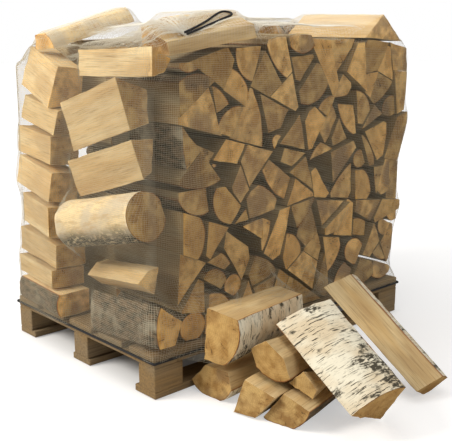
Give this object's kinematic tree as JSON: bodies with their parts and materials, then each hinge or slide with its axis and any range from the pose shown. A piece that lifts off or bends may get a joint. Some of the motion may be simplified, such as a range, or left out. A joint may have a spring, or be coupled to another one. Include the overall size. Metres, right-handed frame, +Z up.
{
  "type": "pile of birch firewood",
  "caption": "Pile of split birch firewood: logs stacked in a net on a wooden pallet, with loose split logs heaped at its foot.",
  "frame": {"origin": "middle of the pallet's footprint, on the ground, on the underside of its middle foot board", "axes": "+X along the pallet's long side, +Y across it, away from the loose logs, +Z up"},
  "size_m": [1.312, 1.4665, 1.1695],
  "materials": {
    "split_wood": "split and sawn, matte",
    "birch_bark": "white bark with dark dashes, matte",
    "dark_bark": "rough dark bark",
    "pallet_wood": "weathered sawn softwood",
    "net_plastic": "pale knotted netting",
    "black_cord": "braided cord"
  },
  "bodies": {
    "root": {"pallet_foot_board_1": "pallet_wood", "pallet_foot_board_2": "pallet_wood", "pallet_foot_board_3": "pallet_wood", "pallet_block_1": "pallet_wood", "pallet_block_2": "pallet_wood", "pallet_block_3": "pallet_wood", "pallet_block_4": "pallet_wood", "pallet_block_5": "pallet_wood", "pallet_block_6": "pallet_wood", "pallet_block_7": "pallet_wood", "pallet_block_8": "pallet_wood", "pallet_block_9": "pallet_wood", "pallet_rim_left": "pallet_wood", "pallet_rim_right": "pallet_wood", "pallet_rim_front": "pallet_wood", "pallet_rim_back": "pallet_wood", "pallet_deck_board_1": "pallet_wood", "pallet_deck_board_2": "pallet_wood", "pallet_deck_board_3": "pallet_wood", "pallet_deck_board_4": "pallet_wood", "pallet_deck_board_5": "pallet_wood", "packed_logs_front_1": "split_wood", "packed_logs_front_2": "split_wood", "packed_logs_front_3": "split_wood", "packed_logs_front_4": "split_wood", "packed_logs_front_5": "split_wood", "packed_logs_back_1": "split_wood", "packed_logs_back_2": "split_wood", "packed_logs_back_3": "split_wood", "packed_logs_back_4": "split_wood", "packed_logs_back_5": "split_wood", "corner_log_1": "dark_bark", "corner_log_2": "split_wood", "corner_log_3": "birch_bark", "corner_log_4": "split_wood", "corner_log_5": "split_wood", "corner_log_6": "split_wood", "side_log_1": "split_wood", "side_log_2": "split_wood", "side_log_3": "split_wood", "side_log_4": "split_wood", "side_log_5": "split_wood", "side_log_6": "split_wood", "side_log_7": "split_wood", "side_log_8": "split_wood", "top_log_1": "split_wood", "top_log_2": "split_wood", "top_log_3": "split_wood", "top_log_4": "split_wood", "loose_log_1": "split_wood", "loose_log_2": "split_wood", "loose_log_3": "split_wood", "loose_log_4": "split_wood", "loose_log_5": "split_wood", "loose_log_6": "birch_bark", "loose_log_7": "split_wood", "loose_log_8": "split_wood", "net": "net_plastic", "net_hem": "black_cord", "drawcord": "black_cord"}
  },
  "joints": []
}
